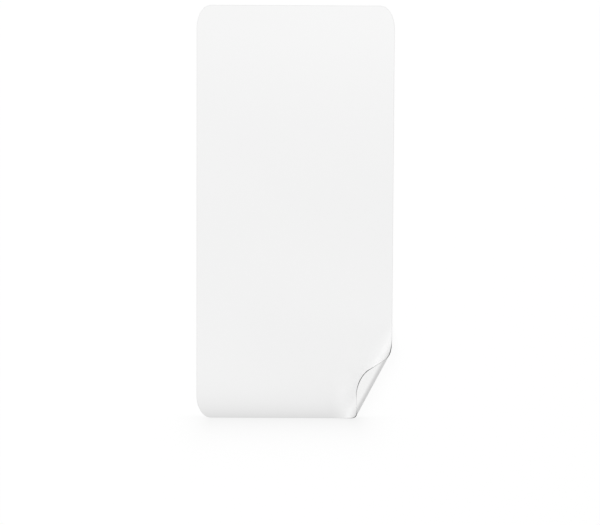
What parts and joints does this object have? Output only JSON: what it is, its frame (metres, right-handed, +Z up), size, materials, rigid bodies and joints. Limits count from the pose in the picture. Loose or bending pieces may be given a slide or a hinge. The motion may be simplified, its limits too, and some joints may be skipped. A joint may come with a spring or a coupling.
{
  "type": "phone screen protector",
  "caption": "Thin film screen protector for a phone: a long rounded rectangle that lies flat on its adhesive face, with one lower corner curled up and over.",
  "frame": {"origin": "middle of the adhesive face, on the surface that the film lies on", "axes": "+X across the width towards the side with the curled corner, +Y along the length towards the film's top, +Z up, out of the outer face"},
  "size_m": [0.069, 0.1448, 0.0099],
  "materials": {
    "film": "pale white plastic film with a soft sheen, its cut edge darker"
  },
  "bodies": {
    "root": {"film": "film"}
  },
  "joints": []
}
